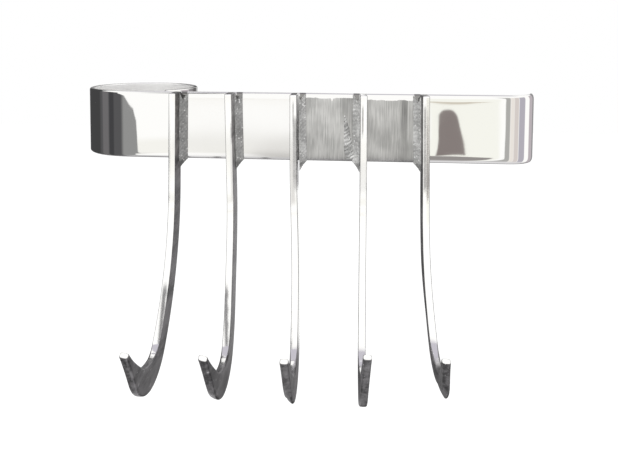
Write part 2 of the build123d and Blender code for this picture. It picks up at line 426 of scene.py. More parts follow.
# %% Wear and small bends of each hook
GRINDS = [0.0, 0.8, 2.5, 0.0, 5.8]
FILLS = [2.8, 2.1, 2.3, 1.0, 0.0]
TILTS = [1.2, 1.8, 0.3, 0.0, 0.3]
BRIGHT = [0.0, 0.2, 1.0, 1.0, 0.0]
WEAR = [[],
        [(0.07, 0.12, 0.6, 1.2, 0.7)],
        [(0.01, 0.07, -0.2, 0.1, 0.8), (0.05, 0.24, -0.1, 1.2, 0.55)],
        [(0.02, 0.09, -0.5, -0.1, 0.8), (0.16, 0.24, -1.2, 1.2, 0.12)],
        [(0.02, 0.25, -0.75, -0.05, 0.6)]]
BEND_AT = np.array([0.0, 0.25, 0.5, 0.68, 0.84, 1.0])
BENDS = np.array([[0.0, 0.0, 0.1, 0.2, 0.3, -0.1],
                  [0.0, -0.2, -0.2, 1.1, 1.2, 0.5],
                  [0.0, -0.9, -0.1, 0.4, 0.7, 0.7],
                  [0.0, 0.2, 0.0, -0.2, 0.2, 1.4],
                  [0.0, -0.2, -0.6, 0.3, 1.5, 0.2]])


def bend(rows, hook):
    """Shifts each station sideways by the hook's own slight bend.

    The bend passes through its values with the slope of their neighbours, as a cubic between.
    """
    length = run_length(rows[..., 1:].mean(1))
    t = length / length[-1]
    slope = np.gradient(BENDS[hook], BEND_AT)
    k = np.clip(np.searchsorted(BEND_AT, t, side="right") - 1, 0, len(BEND_AT) - 2)
    gap = BEND_AT[k + 1] - BEND_AT[k]
    f = (t - BEND_AT[k]) / gap
    low, high = BENDS[hook][k], BENDS[hook][k + 1]
    shift = (low + (high - low) * f * f * (3 - 2 * f)
             + gap * (slope[k] * f * (1 - f) ** 2 - slope[k + 1] * f * f * (1 - f)))
    return rows + np.stack([shift, 0 * shift, 0 * shift], -1)[:, None, :]


print("largest bend:", np.abs(BENDS).max(), "mm")


# %% Place of a hook on the bar
def place(rows, hook):
    """Moves (x, forwards, height) about the hook's own middle to its place on the bar.

    The plate leans by l about its mark at half the bar's height: x' = x cos l - z sin l and
    z' = x sin l + z cos l. Forwards is measured from the bar's face, towards -y.
    """
    lean = np.radians(LEANS[hook])
    x, forwards, z = np.moveaxis(np.asarray(rows, float), -1, 0)
    return np.stack([HOOK_X[hook] + x * np.cos(lean) - z * np.sin(lean), FACE_Y - forwards,
                     x * np.sin(lean) + z * np.cos(lean)], -1)


print("hook 2's foot stands at", place([0.0, 0.0, -HALF_HEIGHT], 1).round(2))

# %% [markdown]
# ## Fillet welds: a hollow strip with ripples, a notch above and a tail below
#
# Each hook is welded down one side. The bead was ground hollow, sags into a V at its top and
# runs out below the bar down the side of the hook. The frozen ripples of the weld pool still show
# as a row of small scales. They are real height differences, so they are worked into the surface
# instead of being painted on.

# %% Smooth value noise
def lattice_noise(x, y, seed):
    """Smooth noise in -1..1: seeded random values at whole numbers, blended by 3f^2 - 2f^3."""
    size = 64
    table = np.random.default_rng(seed).uniform(-1, 1, (size, size))
    xi, yi = np.floor(x).astype(int), np.floor(y).astype(int)
    fx, fy = x - xi, y - yi
    fx, fy = fx * fx * (3 - 2 * fx), fy * fy * (3 - 2 * fy)
    a, b = table[xi % size, yi % size], table[(xi + 1) % size, yi % size]
    c, d = table[xi % size, (yi + 1) % size], table[(xi + 1) % size, (yi + 1) % size]
    return (a * (1 - fx) + b * fx) * (1 - fy) + (c * (1 - fx) + d * fx) * fy


print("noise at four points:", lattice_noise(np.arange(4) * 0.7, np.arange(4) * 1.3, 3).round(2))


# %% Fillet weld rows
def fillet_rows(side, seed, across=19, along=190):
    """Rows of a fillet beside a hook: side is +1 or -1, in (x, forwards, height).

    Across, v runs from the toe on the bar (0) to the toe on the hook (1) over a shallow hollow.
    Along, a point's height goes from its foot, -20 - 5.5 v, to its head, 19.2 less a V that is
    4.6 deep at v = 0.5. Scales lift the hollow by 0.16 mm where a row of rounded steps, each
    1.8 mm long and bowed across the bead, comes to its crest. The loop's one hidden point lies
    inside the corner between bar and plate.
    """
    leg_bar, leg_hook, hollow, scale_length = 4.2, 4.0, 0.6, 1.8
    tail, head_z, notch, hidden_head, bite = 5.5, 19.2, 4.6, 14.6, 0.25
    v = np.linspace(0, 1, across)
    toe_bar = np.array([HALF_PLATE + leg_bar, 0.0])
    toe_hook = np.array([HALF_PLATE, leg_hook])
    out = np.array([leg_hook, leg_bar]) / np.hypot(leg_hook, leg_bar)
    chord = toe_bar + (toe_hook - toe_bar) * v[:, None]
    foot = -HALF_HEIGHT - tail * v
    head = head_z - notch * np.clip(1 - np.abs(2 * v - 1) / 0.9, 0, 1)
    w = np.linspace(0, 1, along)[:, None]
    z = foot + (head - foot) * w
    dip = -hollow * (1 - (2 * v - 1) ** 2)
    bow = 1.2 * (2 * v - 1) ** 2
    phase = (z + bow + 0.5 * lattice_noise(z * 0.4, v * 3 + 0 * z, seed)) / scale_length
    scales = 0.16 * (phase - np.floor(phase)) ** 2 * (1 - (2 * v - 1) ** 4)
    pits = 0.07 * lattice_noise(z * 2.1, v * 9 + 0 * z, seed + 1)
    lift = dip + (scales + pits) * np.sin(np.pi * v) ** 0.4
    face = chord[None] + out * lift[..., None]
    corner = np.array([HALF_PLATE - bite, -bite])
    corner_z = -HALF_HEIGHT + (hidden_head + HALF_HEIGHT) * w
    loop = np.concatenate([np.broadcast_to(corner, (along, 1, 2)), face], 1)
    height = np.concatenate([corner_z, z], 1)
    rows = np.concatenate([loop, height[..., None]], -1)
    rows[..., 0] *= side
    return rows


rows = fillet_rows(1, 5)
print("fillet rows:", rows.shape)
print("from", rows.min((0, 1)).round(2), "to", rows.max((0, 1)).round(2))

# %% [markdown]
# ## The one bead that was left rough
#
# Beside hook 4 lies a second bead that nobody ground: low, wider below than above, and crossed by
# slanting ripples. It could be a flat strip with a bump map, but its ripples stand a third of a
# millimetre high and catch the light from every side, so they are in the surface.

# %% Rough bead rows
def rough_rows(seed, across=25, along=110):
    """Rows of the unground bead beside hook 4: a low arch with slanted ripples.

    Its left edge is straight down to a foot that turns in, and its right edge runs out, so that it
    is 0.7 mm wide above and 5.8 mm near the foot. The arch is 0.5 (1 - (2v - 1)^2) times the root
    of a sixth of the width, and ripples 1.5 mm apart, with round tops and sharp valleys, rise at
    42 degrees across it.
    """
    foot, tall, bite = -18.6, 25.8, 0.25
    w = np.linspace(0, 1, along)[:, None]
    v = np.linspace(0, 1, across)[None, :]
    z = foot + tall * w + 0 * v
    left = -11.2 + 1.6 * ease(-z[:, :1], 13, 18.6)
    right = np.interp(z[:, :1], [-18.6, -16.6, -11.3, -6.1, 0.4, 5.1, 7.2],
                      [-4.9, -4.6, -5.9, -7.0, -8.3, -9.9, -10.5])
    x = left + (right - left) * v
    arch = 0.5 * (1 - (2 * v - 1) ** 2) * ((right - left) / 6) ** 0.5
    phase = (z - 0.9 * x + 0.5 * lattice_noise(z * 0.6, x * 0.6, seed)) / 2.0
    crest = np.abs(np.cos(np.pi * phase)) ** 1.5
    ripple = 0.38 * crest * (1 - (2 * v - 1) ** 6)
    fade = np.clip(np.minimum(w, 1 - w) * 20, 0, 1)
    height = (arch + ripple) * (1 - (1 - fade) ** 2)
    under = np.stack([x[:, ::-1], np.full_like(x, -bite), z], -1)
    return np.concatenate([np.stack([x, height, z], -1), under], 1)


rows = rough_rows(11)
print("rough bead rows:", rows.shape, "proud by", rows[..., 1].max().round(2))

# %% [markdown]
# ## The seam that keeps the ring shut
#
# The rolled end comes round to the bar's own back, and a weld fills the wedge between them. Its
# section is one fixed loop, so it could be an extruded outline; it is made from rows as well,
# because then its two open faces can carry the same frozen scales as the other welds.

# %% Seam weld rows
def seam_rows(seed, along=120, facets=8):
    """Rows of the weld that fills the wedge between the rolled end and the bar's back.

    Its loop follows the ring's outside, the rolled end and the bar's back, and its two open faces
    are hollowed by 0.35 mm and lifted by scales 2 mm long. Coordinates are (x, y, z) in the frame.
    """
    inner_leg, outer_leg, climb, half_length = 4.5, 2.5, 3.0, 18.0
    end_turn = np.arccos((BORE - 0.4) / (BORE + THICKNESS))
    back_y = FACE_Y + THICKNESS
    rise_turn = np.arccos(-(back_y + climb) / (BORE + THICKNESS))

    def on_ring(radius, turn):
        """Points (r sin t, -r cos t), with t counted from straight in front."""
        return np.stack([radius * np.sin(turn), -radius * np.cos(turn)], -1)

    inner_end = on_ring(np.array([BORE]), np.array([end_turn]))
    outside = on_ring(BORE + THICKNESS, np.linspace(rise_turn, end_turn, 7))
    inner_toe = np.array([[inner_end[0, 0] - inner_leg, back_y]])
    outer_toe = np.array([[outside[0, 0] + outer_leg, back_y]])
    t = np.linspace(0, 1, facets + 2)[1:-1, None]
    outer_face = outer_toe + (outside[:1] - outer_toe) * t
    inner_face = inner_end + (inner_toe - inner_end) * t
    bottom = inner_toe + (outer_toe - inner_toe) * np.linspace(0, 1, 8)[1:-1, None]
    loop = np.concatenate([outer_toe, outer_face, outside, inner_end, inner_face, inner_toe,
                           bottom])
    z = np.linspace(-half_length, half_length, along)
    rows = np.broadcast_to(loop, (along,) + loop.shape).copy()
    hump = np.sin(np.pi * t[:, 0])
    phase = z[:, None] / 2.0 + 0.25 * hump + 0.1 * lattice_noise(z[:, None] * 0.5, 0 * hump, seed)
    scale = 0.22 * (phase - np.floor(phase)) ** 2 * hump - 0.35 * hump
    outer_at, inner_at = 1, 1 + facets + len(outside) + 1
    rows[:, outer_at:outer_at + facets] += scale[..., None] * np.array([0.77, 0.64])
    rows[:, inner_at:inner_at + facets] += scale[..., None] * np.array([-0.1, 1.0])
    return np.concatenate([rows, np.broadcast_to(z[:, None, None], rows.shape[:2] + (1,))], -1)


rows = seam_rows(21)
print("seam weld rows:", rows.shape)

# %% [markdown]
# ## Finishes
#
# Everything is the same stainless steel; what changes is how it was worked. Each finish is a metal
# whose roughness, colour and bump change over the piece. They are made from noise on the object's
# own coordinates, with a few short helpers that add and join the nodes.

# %% Node helpers
def cleared(holder):
    """The node tree of a material or a world, with nothing in it yet."""
    holder.use_nodes = True
    holder.node_tree.nodes.clear()
    return holder.node_tree


def new_finish(name):
    """A material with only an output and a metal shader; returns the material, tree and shader."""
    finish = bpy.data.materials.new(name)
    tree = cleared(finish)
    out = tree.nodes.new("ShaderNodeOutputMaterial")
    metal = tree.nodes.new("ShaderNodeBsdfPrincipled")
    metal.inputs["Metallic"].default_value = 1.0
    tree.links.new(metal.outputs["BSDF"], out.inputs["Surface"])
    return finish, tree, metal


def node(tree, kind, inputs=None, **settings):
    """Adds a node, sets its properties, and fills inputs with numbers or links from sockets."""
    made = tree.nodes.new("ShaderNode" + kind)
    for key, value in settings.items():
        setattr(made, key, value)
    for key, value in (inputs or {}).items():
        if isinstance(value, bpy.types.NodeSocket):
            tree.links.new(value, made.inputs[key])
        else:
            made.inputs[key].default_value = value
    return made


def object_xyz(tree, scale=(1, 1, 1)):
    """Object coordinates stretched by scale, in metres."""
    coord = node(tree, "TexCoord")
    return node(tree, "Mapping", {"Vector": coord.outputs["Object"], "Scale": scale}).outputs[0]


def noise(tree, vector, scale, detail=2.0, rough=0.5):
    """Noise of 0..1 with scale in patterns per metre."""
    return node(tree, "TexNoise", {"Vector": vector, "Scale": scale, "Detail": detail,
                                   "Roughness": rough}).outputs["Fac"]


def remap(tree, value, low, high, to_low=0.0, to_high=1.0, smooth=True):
    """Carries low..high to to_low..to_high, clamped, with soft ends if smooth."""
    kind = "SMOOTHSTEP" if smooth else "LINEAR"
    limits = {"From Min": low, "From Max": high, "To Min": to_low, "To Max": to_high}
    return node(tree, "MapRange", {"Value": value, **limits}, interpolation_type=kind).outputs[0]


def maths(tree, operation, a, b=0.0):
    """One Math node."""
    return node(tree, "Math", {0: a, 1: b}, operation=operation).outputs[0]


def product(tree, first, *others):
    """All the given numbers or sockets multiplied together."""
    for other in others:
        first = maths(tree, "MULTIPLY", first, other)
    return first


def strip(tree, value, start, full, fading, end):
    """1 from full to fading and 0 before start and after end, which are in millimetres."""
    return product(tree, remap(tree, value, start * MM, full * MM),
                   remap(tree, value, end * MM, fading * MM))


def blend(tree, factor, a, b):
    """Mixes two colours, or sockets, by a factor."""
    return node(tree, "Mix", {0: factor, 6: a, 7: b}, data_type="RGBA").outputs[2]


def emboss(tree, metal, height, strength, distance):
    """Bump on the metal from a height of 0..1, which stands for distance in metres."""
    bump = node(tree, "Bump", {"Height": height, "Strength": strength, "Distance": distance})
    tree.links.new(bump.outputs[0], metal.inputs["Normal"])


print("node helpers ready")

# %% [markdown]
# ## Finish of the bar
#
# The ring and the far end are buffed like a mirror, the bar between the first hooks is a soft
# satin, and from hook 3 to hook 5 it was ground upright with a coarser belt, which stopped short
# of the rolled top and left two darker passes. Painted shade darkens the flats beside the weld
# heads and along the foot. The back and the ring's inside are a rougher, less metallic satin,
# painted paler, which partly stands in for the light inside the ring. One material with masks
# keeps the borders soft, where two materials on separate faces would meet in a hard line.

# %% Fields of the bar
def bar_fields(tree, x, z):
    """Masks of 0..1 for each way in which a point of the bar was worked, and for its painted shade,
    by name.

    The ground field's top edge wanders by 0.4 mm, sinks by 0.8 mm to the right and has one nick.
    The foot is painted shade that darkens the face towards its lower edge.
    The passes' sides wander by 0.6 mm. A head is painted shade: a dark place beside the top of a
    weld, in the notch between its horns.
    """
    ragged = noise(tree, object_xyz(tree, (1, 1, 0)), 160, 3.0)
    edge = maths(tree, "ADD", z, remap(tree, ragged, 0.3, 0.7, -0.0004, 0.0004))
    edge = maths(tree, "ADD", edge, remap(tree, x, 0.125, 0.15, 0.0, 0.0008))
    from_nick = maths(tree, "ABSOLUTE", maths(tree, "SUBTRACT", x, 0.1227))
    edge = maths(tree, "ADD", edge, remap(tree, from_nick, 0.0, 0.001, 0.0018, 0.0))
    ground = product(tree, strip(tree, x, 101.6, 102.4, 175.9, 176.7),
                     remap(tree, edge, 0.0173, 0.0170))
    satin = strip(tree, x, 26, 34, 101.6, 102.4)
    across = maths(tree, "ADD", x, remap(tree, ragged, 0.3, 0.7, -0.0006, 0.0006))
    right_pass = product(tree, strip(tree, across, 161.8, 163.2, 166.2, 167.2),
                         remap(tree, z, -0.014, 0.004, 0.25, 1.0))
    left_pass = product(tree, strip(tree, across, 126, 129, 136, 139),
                        remap(tree, z, 0.0, 0.004, 0.0, 0.5))
    # painted shade: the face grows darker towards its lower edge
    foot = product(tree, remap(tree, z, -0.0125, -0.0195, 0.0, 0.3),
                   strip(tree, x, 30, 100, 170, 178))
    # painted shade: the bar darkens beside the top of each weld, in the notch between its horns
    notch_shade = 0.0
    for middle, toward in zip(HOOK_X, WELD_SIDES):
        offset = maths(tree, "SUBTRACT", x, (middle + 4.0 * toward) * MM)
        head = remap(tree, maths(tree, "ABSOLUTE", offset), 0.0022, 0.0014)
        notch_shade = maths(tree, "MAXIMUM", notch_shade, head)
    notch_shade = product(tree, notch_shade, remap(tree, edge, 0.0150, 0.0165, 0.0, 0.85))
    return {"ground": ground, "satin": satin, "passes": maths(tree, "ADD", right_pass, left_pass),
            "foot": foot, "notch_shade": notch_shade}


# %% Finish of the bar
def bar_finish():
    """Mirror on the ring and far end, satin by the first hooks, ground between hooks 3 and 5.

    Each field changes the colour, the roughness or both; the inner attribute is 1 on the back.
    The foot and the marks beside the weld heads are painted shade, and the back's paler colour is
    partly painted light.
    """
    finish, tree, metal = new_finish("polished_bar")
    axes = node(tree, "SeparateXYZ", {0: node(tree, "TexCoord").outputs["Object"]}).outputs
    fields = bar_fields(tree, axes[0], axes[2])
    back = node(tree, "Attribute", attribute_name="inner").outputs["Fac"]
    brush = noise(tree, object_xyz(tree, (1, 1, 0.045)), 1500, 3.0, 0.6)
    cloud = noise(tree, object_xyz(tree), 55, 2.0)
    tone = remap(tree, maths(tree, "ADD", brush, cloud), 0.7, 1.3, 0.36, 0.66)
    tone = product(tree, tone, maths(tree, "SUBTRACT", 1.0, product(tree, fields["passes"], 0.42)))
    belt = node(tree, "CombineColor", {0: tone, 1: tone, 2: product(tree, tone, 0.985)}).outputs[0]
    colour = blend(tree, fields["ground"], (0.87, 0.868, 0.86, 1), belt)
    # painted shade along the lower edge and beside the weld heads
    colour = blend(tree, fields["foot"], colour, (0.2, 0.197, 0.19, 1))
    colour = blend(tree, fields["notch_shade"], colour, (0.16, 0.155, 0.15, 1))
    # the back and the ring's inside: a rougher satin whose paler colour partly stands in for the
    # light inside the ring
    colour = blend(tree, back, colour, (0.97, 0.968, 0.96, 1))
    tree.links.new(colour, metal.inputs["Base Color"])
    tree.links.new(remap(tree, back, 0.0, 1.0, 1.0, 0.6), metal.inputs["Metallic"])
    rough = remap(tree, cloud, 0.3, 0.7, 0.015, 0.03)
    for field, amount in ((fields["satin"], 0.07), (fields["ground"], 0.3), (back, 0.5)):
        rough = maths(tree, "ADD", rough, product(tree, field, amount))
    tree.links.new(rough, metal.inputs["Roughness"])
    ripple = noise(tree, object_xyz(tree), 28, 1.0)
    scratch = product(tree, brush, fields["ground"], 0.02)
    emboss(tree, metal, maths(tree, "ADD", ripple, scratch), 1.0, 0.0001)
    return finish


bar_metal = bar_finish()
print("finish:", bar_metal.name)

# %% [markdown]
# ## Finish of the hooks
#
# The plates keep their dull mill skin on the sides, mottled in the direction in which the sheet
# was rolled, and are polished on the cut edges. The two could be separate materials, but the
# polish fades out towards the beak and has worn through in streaks, so one material mixes both by
# the polish that each point stores.

# %% Finish of the hooks
def hook_finish():
    """Dark mottled mill skin on the plate, polished where the polish attribute is 1.

    The skin's tone is the sum of spots and a cloud, both drawn out forwards, with pale specks.
    """
    finish, tree, metal = new_finish("hook_plate")
    polish = node(tree, "Attribute", attribute_name="polish").outputs["Fac"]
    rest = maths(tree, "SUBTRACT", 1.0, polish)
    spots = noise(tree, object_xyz(tree, (1, 0.22, 1)), 360, 4.0, 0.65)
    cloud = noise(tree, object_xyz(tree, (1, 0.4, 1)), 70, 2.0)
    tone = remap(tree, maths(tree, "ADD", spots, cloud), 0.76, 1.26, 0.09, 0.36)
    grit = noise(tree, object_xyz(tree, (1, 0.3, 0.6)), 800, 1.0)
    tone = maths(tree, "MAXIMUM", tone, remap(tree, grit, 0.68, 0.75, 0.0, 0.55))
    skin = node(tree, "CombineColor", {0: tone, 1: product(tree, tone, 0.985), 2: tone})
    colour = blend(tree, polish, skin.outputs[0], (0.93, 0.928, 0.92, 1))
    tree.links.new(colour, metal.inputs["Base Color"])
    dull = remap(tree, spots, 0.3, 0.7, 0.34, 0.5)
    rough = maths(tree, "ADD", product(tree, dull, rest), product(tree, polish, 0.1))
    tree.links.new(rough, metal.inputs["Roughness"])
    emboss(tree, metal, spots, product(tree, rest, 0.8), 0.0003)
    return finish


hook_metal = hook_finish()
print("finish:", hook_metal.name)

# %% [markdown]
# ## Finish of the welds
#
# A weld that nobody polished is matte and grey, full of bright specks where a scale's edge was
# touched by the grinder, with dark runs of slag across it. The scales themselves are in the
# surface, so the finish only adds what is too fine for it. It is made twice, because the rough
# bead has far stronger runs than the ground fillets.

# %% Finish of the welds
def weld_finish(name, stripes):
    """Matte grey weld metal with bright specks, and slanting dark runs in the measure of stripes.

    The welds at the ring's side are darker, and the tails below the bar are darkened with painted
    shadow.
    """
    finish, tree, metal = new_finish(name)
    metal.inputs["Metallic"].default_value = 0.15
    axes = node(tree, "SeparateXYZ", {0: node(tree, "TexCoord").outputs["Object"]}).outputs
    grain = noise(tree, object_xyz(tree), 900, 3.0, 0.7)
    cloud = noise(tree, object_xyz(tree), 160, 2.0)
    tone = remap(tree, maths(tree, "ADD", grain, cloud), 0.75, 1.35, 0.50, 0.96)
    runs = node(tree, "TexWave", {"Vector": object_xyz(tree, (1, 1, -1.6)), "Scale": 160,
                                  "Distortion": 2.0, "Detail": 1.0}, bands_direction="DIAGONAL")
    tone = product(tree, tone, remap(tree, runs.outputs["Fac"], 0.25, 0.6, 1.0 - stripes, 1.0),
                   remap(tree, axes[0], 0.075, 0.1, 0.68, 1.0),
                   # painted shadow: the tails below the bar are darker
                   remap(tree, axes[2], -0.0215, -0.0195, 0.5, 1.0))
    speck = remap(tree, noise(tree, object_xyz(tree), 620, 1.0), 0.64, 0.70)
    tone = maths(tree, "MAXIMUM", tone, speck)
    grey = node(tree, "CombineColor", {0: tone, 1: tone, 2: product(tree, tone, 0.98)})
    tree.links.new(grey.outputs[0], metal.inputs["Base Color"])
    tree.links.new(remap(tree, grain, 0.3, 0.7, 0.55, 0.4), metal.inputs["Roughness"])
    emboss(tree, metal, grain, 0.8, 0.00012)
    return finish


weld_metal = weld_finish("weld_metal", 0.12)
bead_metal = weld_finish("bead_metal", 0.35)
print("finishes:", weld_metal.name, bead_metal.name)

# %% [markdown]
# ## Putting the rack together
#
# Each surface takes over from the plain solid that it stands for, which is hidden, and rides on
# the one body.

# %% Make the bar, the hooks and the welds
def stand_for(piece, solid):
    """The piece rides on the rack's body in place of the named plain solid."""
    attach(piece, "root")
    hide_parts(solid)


def mark_points(piece, name, values):
    """Stores one number per point of a piece, for its finish to read."""
    attribute = piece.data.attributes.new(name, "FLOAT", "POINT")
    attribute.data.foreach_set("value", np.ascontiguousarray(values, np.float32).ravel())


rows, inner = bar_rows(points, normals)
bar = loft("polished_bar", rows, bar_metal)
mark_points(bar, "inner", inner)
stand_for(bar, "band")

for hook in range(len(HOOK_X)):
    edges = hook_edges(DROPS[hook], BEAKS[hook])
    rows, polish = hook_rows(*edges, GRINDS[hook], FILLS[hook], TILTS[hook], WEAR[hook],
                             BRIGHT[hook])
    piece = loft(f"hook_plate_{hook + 1}", place(bend(rows, hook), hook), hook_metal)
    mark_points(piece, "polish", polish)
    stand_for(piece, f"hook_{hook + 1}")
    rows = place(fillet_rows(WELD_SIDES[hook], hook + 1), hook)
    stand_for(loft(f"fillet_{hook + 1}", rows, weld_metal), f"hook_{hook + 1}_weld")

bead = loft("rough_bead_4", place(rough_rows(11), 3), bead_metal)
stand_for(bead, "hook_4_rough_bead")
seam = loft("seam_bead", seam_rows(21), weld_metal)
stand_for(seam, "ring_seam_weld")
print("bar, rough bead, seam and", len(HOOK_X), "hooks with their fillets are in place")

# %% [markdown]
# ## Studio
#
# A bright metal shows its surroundings more than itself, so the room is kept white and plain. The
# world is a little dimmer as a source of light than it looks, or pale steel would burn out.

# %% Room light
world = bpy.data.worlds.new("studio")
bpy.context.scene.world = world
tree = cleared(world)
path = tree.nodes.new("ShaderNodeLightPath")
seen = path.outputs["Is Camera Ray"]
for ray in ("Is Glossy Ray", "Is Transmission Ray"):
    seen = maths(tree, "MAXIMUM", seen, path.outputs[ray])
strength = remap(tree, seen, 0.0, 1.0, 0.75, 1.0, smooth=False)
sky = node(tree, "Background", {"Color": (1, 1, 1, 1), "Strength": strength})
tree.links.new(sky.outputs[0], tree.nodes.new("ShaderNodeOutputWorld").inputs["Surface"])
print("world:", world.name)

# %% [markdown]
# ## The paper tent
#
# Round the rack stands a dome of white paper with grey and dark cards pinned to it. A mirror-bright
# part is drawn almost wholly by such cards. They could be many small planes; it is simpler to lay
# them out by direction on one sheet, as numbers stored on its points: az turns from straight in
# front (-y) towards the bent end, el rises from the horizon, both in degrees.

# %% A card's shape and shade
def band(value, low, high, edge):
    """1 between low and high, falling to 0 over edge on both sides."""
    return ease(value, low - edge, low) * (1 - ease(value, high, high + edge))


def over(base, mask, shade):
    """Lays a card of one shade over the tent where mask is 1."""
    return base + (np.array(shade) - base) * mask[..., None]


print("a card's edge:", band(np.array([0.0, 0.5, 1.0, 2.0]), 1, 3, 1))


# %% Cards in front
def front_paper(light, az, el):
    """Creamier paper low in front, and round to the right."""
    low = (1 - ease(el, -9.6, -8.8)) * ease(el, -13, -12)
    light = over(light, low * band(az, -40, 7, 3), [1.04, 1.03, 0.985])
    return over(light, band(az, 8, 14.25, 0.4) * (1 - ease(el, 3, 8)), [1.05, 1.05, 0.98])


def front_lines(light, az, el):
    """Two thin brownish edges below eye level; the right one waves as 0.25 cos(0.55 (az - 10))."""
    line = -5.05 - 0.25 * np.cos(0.55 * (az - 10))
    light = over(light, band(el, line - 0.12, line + 0.15, 0.12) * band(az, 7.4, 13.2, 0.8),
                 [0.68, 0.62, 0.52])
    return over(light, band(el, -4.95, -4.6, 0.15) * band(az, -17, 4, 1.0), [0.84, 0.79, 0.70])


def low_shades(light, az, el):
    """Faint shades low in front, and a low grey card that narrows to a point at the right."""
    light = over(light, band(el, -10.2, -9.2, 0.5) * band(az, -17, -9.5, 0.6), [0.93, 0.92, 0.885])
    light = over(light, (1 - ease(el, -10.2, -8.6)) * band(az, -9, -4, 1.2), [0.80, 0.785, 0.76])
    low = 1 - ease(el + 0.13 * (az - 7.9), -10.9, -10.5)
    return over(light, low * band(az, 7.4, 13.6, 0.4), [0.34, 0.32, 0.31])


def thumb_card(light, az, el):
    """A dark upright card with a rounded top, whose sides part as they go down.

    Its top lies at -6.1 - 0.5 |(az - middle) / half|^3, which is flat with round shoulders.
    """
    middle, half = 9.65, 0.85
    drop = np.clip(-6.5 - el, 0, 12)
    card = band(az, middle - half - 0.06 * drop, middle + half + 0.25 * drop, 0.08)
    top = -6.1 - 0.5 * np.abs((az - middle) / half) ** 3
    card = card * (1 - ease(el, top - 0.06, top + 0.06)) * ease(el, -10.75, -10.65)
    return over(light, card, [0.27, 0.235, 0.225])


print("paper low in front:", front_paper(np.ones((1, 3)), np.zeros(1), np.full(1, -11.0)))

# %% Cards at the sides
RIGHT_STRIPES = [(15.3, 20, 0.3, (0.48, 0.475, 0.46)), (21.5, 29, 1.2, (0.93, 0.88, 0.83)),
                 (31, 45, 2.0, (0.76, 0.70, 0.67)), (49, 75, 2.0, (0.51, 0.49, 0.55)),
                 (103, 126, 3.0, (0.55, 0.5, 0.53)), (130, 164, 4.0, (0.3, 0.29, 0.3))]


def right_stripes(light, az, el):
    """Upright strips of paper for the bent end to mirror, as (from, to, soft edge, shade)."""
    short = 1 - ease(el, 18, 28)
    for low, high, soft, shade in RIGHT_STRIPES:
        light = over(light, short * band(az, low, high, soft), shade)
    return light


def left_room(light, az, el):
    """The dark side of the room, with darker and paler strips further round.

    edge says how far round to the left it begins at each el, and rise how high it reaches at each
    az; together they draw the curved border of the dark patch on the ring.
    """
    rise = np.interp(-az, [20, 32, 45, 62, 90, 110, 180], [-4.5, 3, 8, 12, 22, 40, 34])
    edge = np.interp(-el, [4.2, 4.8, 5.3, 6.0, 7.3, 9.3, 10.3, 10.7, 11.0, 11.4, 14],
                     [42, 33, 28.5, 23.0, 21.3, 21.0, 20.7, 20.2, 19.0, 21.5, 22.0])
    left = ease(-az, edge, edge + 0.35) * (1 - ease(el, rise, rise + 5))
    light = over(light, left, [0.32, 0.32, 0.318])
    light = over(light, left * ease(-az, 32, 38), [0.105, 0.104, 0.108])
    light = over(light, left * band(az, -61, -53, 3.0), [0.062, 0.062, 0.066])
    light = over(light, left * band(az, -79, -66, 3.0), [0.17, 0.165, 0.17])
    return over(light, left * ease(-az, 84, 92), [0.062, 0.062, 0.063])


print("strips at the right:", len(RIGHT_STRIPES))


# %% Cards above, behind and below
def high_cards(light, az, el):
    """A slanted grey card with one torn edge, and a lilac ceiling, high in front.

    The torn edge wanders as 2.2 sin(0.9 el) + 1.4 sin(2.3 el + 1).
    """
    slant = -17.2 - 0.08 * (el - 38)
    torn = 2.2 * np.sin(0.9 * el) + 1.4 * np.sin(2.3 * el + 1)
    card = band(az, slant - 6, slant + 0.6 - 0.45 * torn, 0.5) * band(el, 31, 56, 3)
    light = over(light, card, [0.24, 0.235, 0.24])
    overhead = np.where(np.abs(az) < 90, 56.5, 68)
    return over(light, ease(el, overhead, overhead + 1.5), [0.60, 0.58, 0.64])


def room_behind(light, az, el):
    """Behind, the room is dim at both sides, darkest by the corners, and bright straight behind."""
    low = 1 - ease(el, 22, 38)
    light = over(light, ease(np.abs(az), 140, 160) * low, [0.36, 0.355, 0.36])
    dim = np.interp(el, [-14, -8, 10], [0.42, 0.42, 0.15])[..., None] * np.array([1, 0.98, 1])
    light = over(light, band(az, 161, 165, 3) * low, dim)
    light = over(light, ease(-az, 160, 166) * low, [0.12, 0.118, 0.12])
    return over(light, (ease(az, 171, 174) + ease(-az, 176, 178)) * low, [1.12, 1.12, 1.11])


def ground_below(light, az, el):
    """The ground below the horizon, by az counted from 0 to 360: dark behind the bent end."""
    ground = np.interp(az % 360, [0, 90, 120, 165, 180, 192, 205, 230, 245, 310, 335, 360],
                       [0.8, 0.8, 0.2, 0.06, 0.08, 0.18, 0.90, 1.00, 0.15, 0.15, 0.8, 0.8])
    shade = ground[..., None] * np.array([1, 0.985, 1.005])
    return over(light, 1 - ease(el, -46, -24), shade)


def tent_light(az, el):
    """Radiance of the tent by direction: white paper, with each card laid over it in turn."""
    light = np.ones(az.shape + (3,)) * np.array([1.14, 1.135, 1.12])
    for lay in (front_paper, front_lines, low_shades, thumb_card, right_stripes, left_room,
                high_cards, room_behind, ground_below):
        light = lay(light, az, el)
    return light


print("light from straight ahead:", tent_light(np.zeros(1), np.zeros(1)).round(3))

# %% [markdown]
# ## The tent as one sheet
#
# The sheet is a sphere round the rack, cut open at its poles, with its points set closest where a
# card has a crisp edge that the bar mirrors. It glows by the shade that each point stores, and
# only reflections see it: no lamp light is stopped, and it adds none of its own to dull surfaces.

